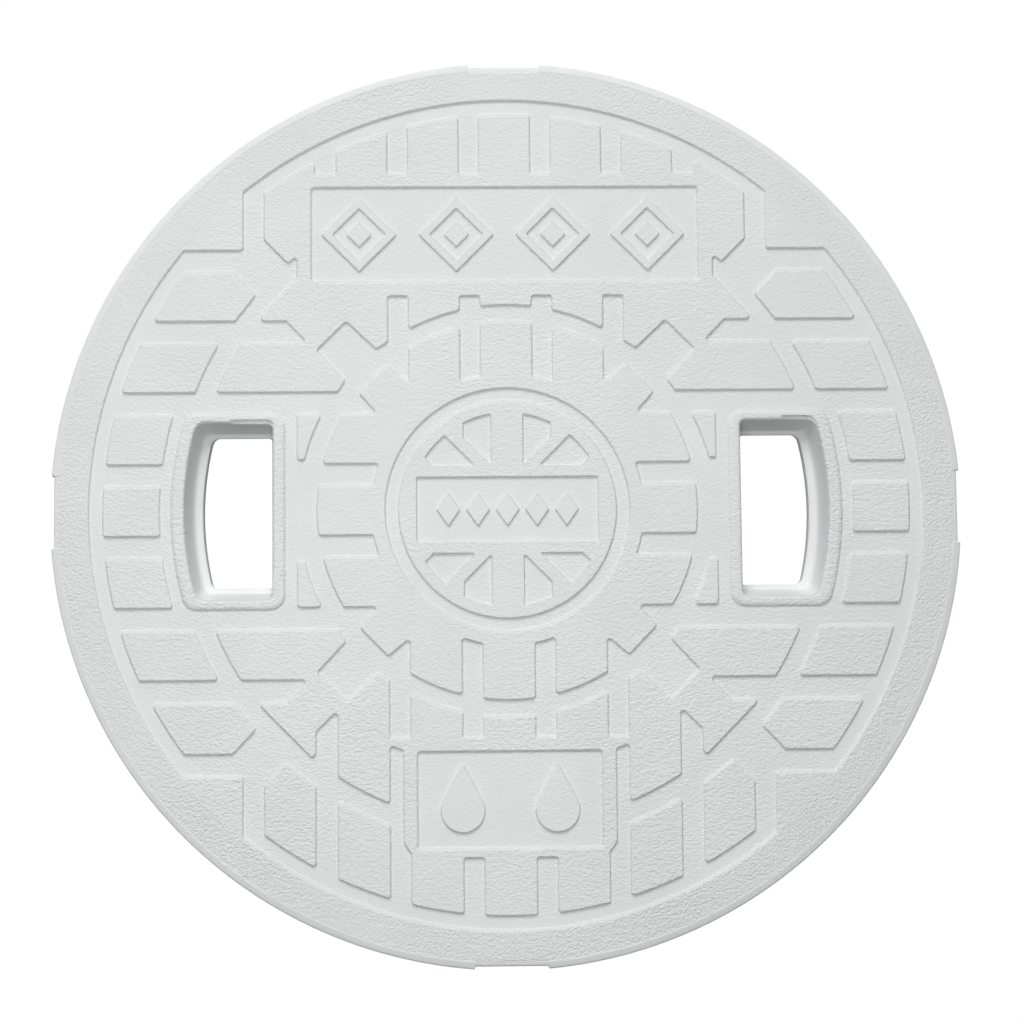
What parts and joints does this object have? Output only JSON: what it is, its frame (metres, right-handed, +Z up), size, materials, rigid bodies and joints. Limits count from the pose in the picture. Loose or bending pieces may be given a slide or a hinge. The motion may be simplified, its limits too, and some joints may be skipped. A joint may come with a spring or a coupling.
{
  "type": "manhole cover",
  "caption": "Round treaded plastic pit cover with two hand slots, lifting straight up off a spigoted frame that drops into the bore of a pit.",
  "frame": {"origin": "on the cover's axis at the underside of the frame's spigot", "axes": "+Z up out of the ground, +Y towards the wide recessed plate, +X towards the right-hand slot"},
  "size_m": [0.3986, 0.3986, 0.056],
  "materials": {
    "lid_plastic": "pale cool grey polypropylene, fine leather grain on the raised tread, smoother grooves",
    "frame_plastic": "mid grey polypropylene, satin as moulded",
    "rubber": "matt black synthetic rubber",
    "stainless": "plain stainless steel, turned and lightly brushed"
  },
  "bodies": {
    "frame": {"frame": "frame_plastic", "cushion_1": "rubber", "cushion_2": "rubber", "cushion_3": "rubber", "cushion_4": "rubber", "cushion_5": "rubber", "cushion_6": "rubber", "cushion_7": "rubber", "cushion_8": "rubber", "frame_screw_1": "stainless", "frame_screw_2": "stainless", "frame_screw_3": "stainless", "frame_screw_4": "stainless", "frame_washer_1": "stainless", "frame_washer_2": "stainless", "frame_washer_3": "stainless", "frame_washer_4": "stainless"},
    "lid": {"lid": "lid_plastic"}
  },
  "joints": [
    {"name": "lid_lift", "type": "slide", "parent": "frame", "child": "lid", "axis": [0, 0, 1], "range_m": [0, 0.15]}
  ]
}
